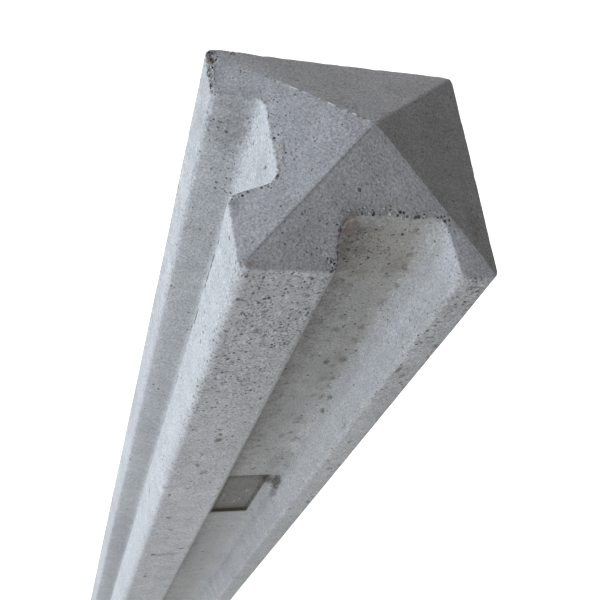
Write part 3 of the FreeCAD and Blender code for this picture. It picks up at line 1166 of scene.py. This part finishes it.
def cast_concrete(colours, sizes):
    """Cast concrete from a steel mould: matt grey paste, speckled with dirt and painted shade in its pits,
    and painted shade and light on some slots, edges and faces.
    """
    material = bpy.data.materials.new("cast_concrete")
    tree = empty_tree(material)
    paint = Paint(tree, colours, sizes.height - sizes.cap_rise)
    paint.mould()
    paint.stain()
    pits = paint.speckle()
    paint.smear()
    paint.weather()
    grain = paint.clouds((1.1, 1.1, 0.9), 0.0, 1.0)
    relief = add(tree, "ShaderNodeMath", {0: grain, 1: pits}, operation="SUBTRACT")
    bump = add(tree, "ShaderNodeBump", {"Height": relief, "Strength": 0.5, "Distance": 0.25 * MM})
    surface = add(tree, "ShaderNodeBsdfPrincipled", {
        "Base Color": paint.colour,
        "Roughness": 0.9,
        "IOR": 1.5,
        "Specular IOR Level": 0.3,
        "Normal": bump,
    })
    add(tree, "ShaderNodeOutputMaterial", {"Surface": surface}, out=None)
    return material


def looked_along(tree):
    """1 for a ray that is looked along, straight, by a gloss or through glass, and 0 for one that lights."""
    path = add(tree, "ShaderNodeLightPath", out=None).outputs
    seen = path["Is Camera Ray"]
    for kind in ("Is Glossy Ray", "Is Transmission Ray"):
        seen = add(tree, "ShaderNodeMath", {0: seen, 1: path[kind]}, operation="MAXIMUM")
    return seen


def matt_white_paper():
    """Matt white paper. A glow for the eye alone whitens it, less so at the foot, where the shadow shows."""
    material = bpy.data.materials.new("matt_white_paper")
    tree = empty_tree(material)
    place = add(tree, "ShaderNodeTexCoord", out="Object")
    reach = add(tree, "ShaderNodeVectorMath", {0: place}, out="Value", operation="LENGTH")
    level = add(tree, "ShaderNodeMapRange", {
        "Value": reach, "From Min": 0.3, "From Max": 1.6, "To Min": 0.5, "To Max": 1.0})
    glow = add(tree, "ShaderNodeMath", {0: looked_along(tree), 1: level}, operation="MULTIPLY")
    paper = add(tree, "ShaderNodeBsdfDiffuse", {"Color": (0.8, 0.8, 0.8, 1)})
    white = add(tree, "ShaderNodeEmission", {"Strength": glow})
    both = add(tree, "ShaderNodeAddShader", {0: paper, 1: white})
    add(tree, "ShaderNodeOutputMaterial", {"Surface": both}, out=None)
    return material


class POST_OT_cast(bpy.types.Operator):
    """Cast the post: its section, cap and sunk field, with chips, crumbs and air voids"""
    bl_idname = "corner_post.cast"
    bl_label = "Cast Post"

    def execute(self, context):
        scene = context.scene
        sizes, wear = scene.post_sizes, scene.post_wear
        casting = Casting(sizes, wear)
        casting.wave(wear.wave)
        casting.sink_mark()
        casting.wear_near_wall(wear.near_wall)
        casting.lip_side_wall(wear.lip)
        casting.raise_flash(wear.flash)
        casting.crumble(wear.crumble)
        casting.soil_and_shade_edges()
        casting.soil_and_shade_mark()
        casting.crumb_edges()
        casting.chip_corners()
        casting.chip_edges(wear.seed)
        post = bpy.data.objects.new(PIECE, casting.mesh(PIECE))
        scene.collection.objects.link(post)
        cut_air_voids(post, wear, cast_concrete(scene.post_colours, sizes))
        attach(post, "root")
        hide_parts(NODE)
        return {"FINISHED"}


class POST_OT_studio(bpy.types.Operator):
    """Set up the floor, the soft lights and the camera"""
    bl_idname = "corner_post.studio"
    bl_label = "Set Up Studio"

    def execute(self, context):
        scene = context.scene
        studio = scene.post_studio
        self.lay_floor(scene)
        self.light_sky(scene, studio)
        boxes = (
            ("left_softbox", (-2.4, 0.45, 2.53), (1.2, 3.6), 0.55 * studio.key, "E4EFFF"),
            ("key_softbox", (-2.2, -1.0, 2.53), (1.0, 3.6), 0.45 * studio.key, "E4EFFF"),
            ("front_softbox", (0.2, -2.4, 1.8), (1.4, 2.8), studio.front, "F6FAFF"),
            ("right_softbox", (2.4, 0.3, 0.7), (1.8, 1.4), 0.7 * studio.fill, "FFFDFA"),
            ("back_softbox", (-0.6, 2.4, 2.0), (1.8, 2.6), studio.fill, "FFFDFA"),
        )
        for name, place, size, power, colour in boxes:
            self.hang_softbox(scene, name, Vector(place), size, power, linear(colour))
        self.place_camera(scene, studio)
        scene.view_settings.view_transform = "Standard"
        return {"FINISHED"}

    @staticmethod
    def lay_floor(scene):
        """Pale floor under the foot. It shows white to the camera and keeps the post's shadow."""
        half = 30.0
        mesh = bpy.data.meshes.new("floor")
        corners = [(-half, -half, 0), (half, -half, 0), (half, half, 0), (-half, half, 0)]
        mesh.from_pydata(corners, [], [(0, 1, 2, 3)])
        floor = bpy.data.objects.new("floor", mesh)
        scene.collection.objects.link(floor)
        mesh.materials.append(matt_white_paper())

    @staticmethod
    def light_sky(scene, studio):
        """Even light from all round, which shows as white behind the post."""
        world = bpy.data.worlds.new("studio")
        tree = empty_tree(world)
        level = add(tree, "ShaderNodeMapRange", {
            "Value": looked_along(tree), "To Min": studio.sky, "To Max": 1.0})
        sky = add(tree, "ShaderNodeBackground", {"Color": (1, 1, 1, 1), "Strength": level})
        add(tree, "ShaderNodeOutputWorld", {"Surface": sky}, out=None)
        scene.world = world

    @staticmethod
    def hang_softbox(scene, name, place, size, power, colour):
        """One rectangular softbox that faces the post at its own height."""
        light = bpy.data.lights.new(name, "AREA")
        light.shape = "RECTANGLE"
        light.size, light.size_y = size
        light.energy = power
        light.color = colour
        box = bpy.data.objects.new(name, light)
        box.location = place
        box.rotation_euler = Vector((-place.x, -place.y, 0)).to_track_quat("-Z", "Y").to_euler()
        scene.collection.objects.link(box)

    @staticmethod
    def place_camera(scene, studio):
        """Camera over the cap, looking down the two slotted faces."""
        lens = bpy.data.cameras.new("camera")
        lens.lens = studio.lens
        lens.shift_x, lens.shift_y = studio.shift
        lens.clip_start = 10 * MM
        camera = bpy.data.objects.new("camera", lens)
        turn = Matrix.Rotation(studio.heading, 4, "Z") @ Matrix.Rotation(studio.tilt, 4, "X")
        camera.matrix_world = Matrix.Translation(studio.eye) @ turn @ Matrix.Rotation(studio.roll, 4, "Z")
        scene.collection.objects.link(camera)
        scene.camera = camera


class POST_PT_panel(bpy.types.Panel):
    """Lists the steps and the values that they use"""
    bl_idname = "POST_PT_panel"
    bl_label = "Corner Post"
    bl_space_type = "VIEW_3D"
    bl_region_type = "UI"
    bl_category = "Corner Post"

    def draw(self, context):
        layout = self.layout
        for step in (POST_OT_cast, POST_OT_studio):
            layout.operator(step.bl_idname)
        scene = context.scene
        for name, group in GROUPS.items():
            box = layout.box()
            for key in group.__annotations__:
                box.prop(getattr(scene, name), key)


GROUPS = {
    "post_sizes": PostSizes,
    "post_wear": PostWear,
    "post_colours": PostColours,
    "post_studio": StudioSettings,
}
CLASSES = (*GROUPS.values(), POST_OT_cast, POST_OT_studio, POST_PT_panel)


def register():
    """Register the classes and hang the groups of values on the scene."""
    for cls in CLASSES:
        bpy.utils.register_class(cls)
    for key, group in GROUPS.items():
        setattr(bpy.types.Scene, key, PointerProperty(type=group))


def unregister():
    """Undo register."""
    for key in GROUPS:
        delattr(bpy.types.Scene, key)
    for cls in reversed(CLASSES):
        bpy.utils.unregister_class(cls)


def main():
    """Cast the post and set up the studio."""
    register()
    bpy.ops.corner_post.cast()
    bpy.ops.corner_post.studio()


if __name__ == "__main__":
    main()
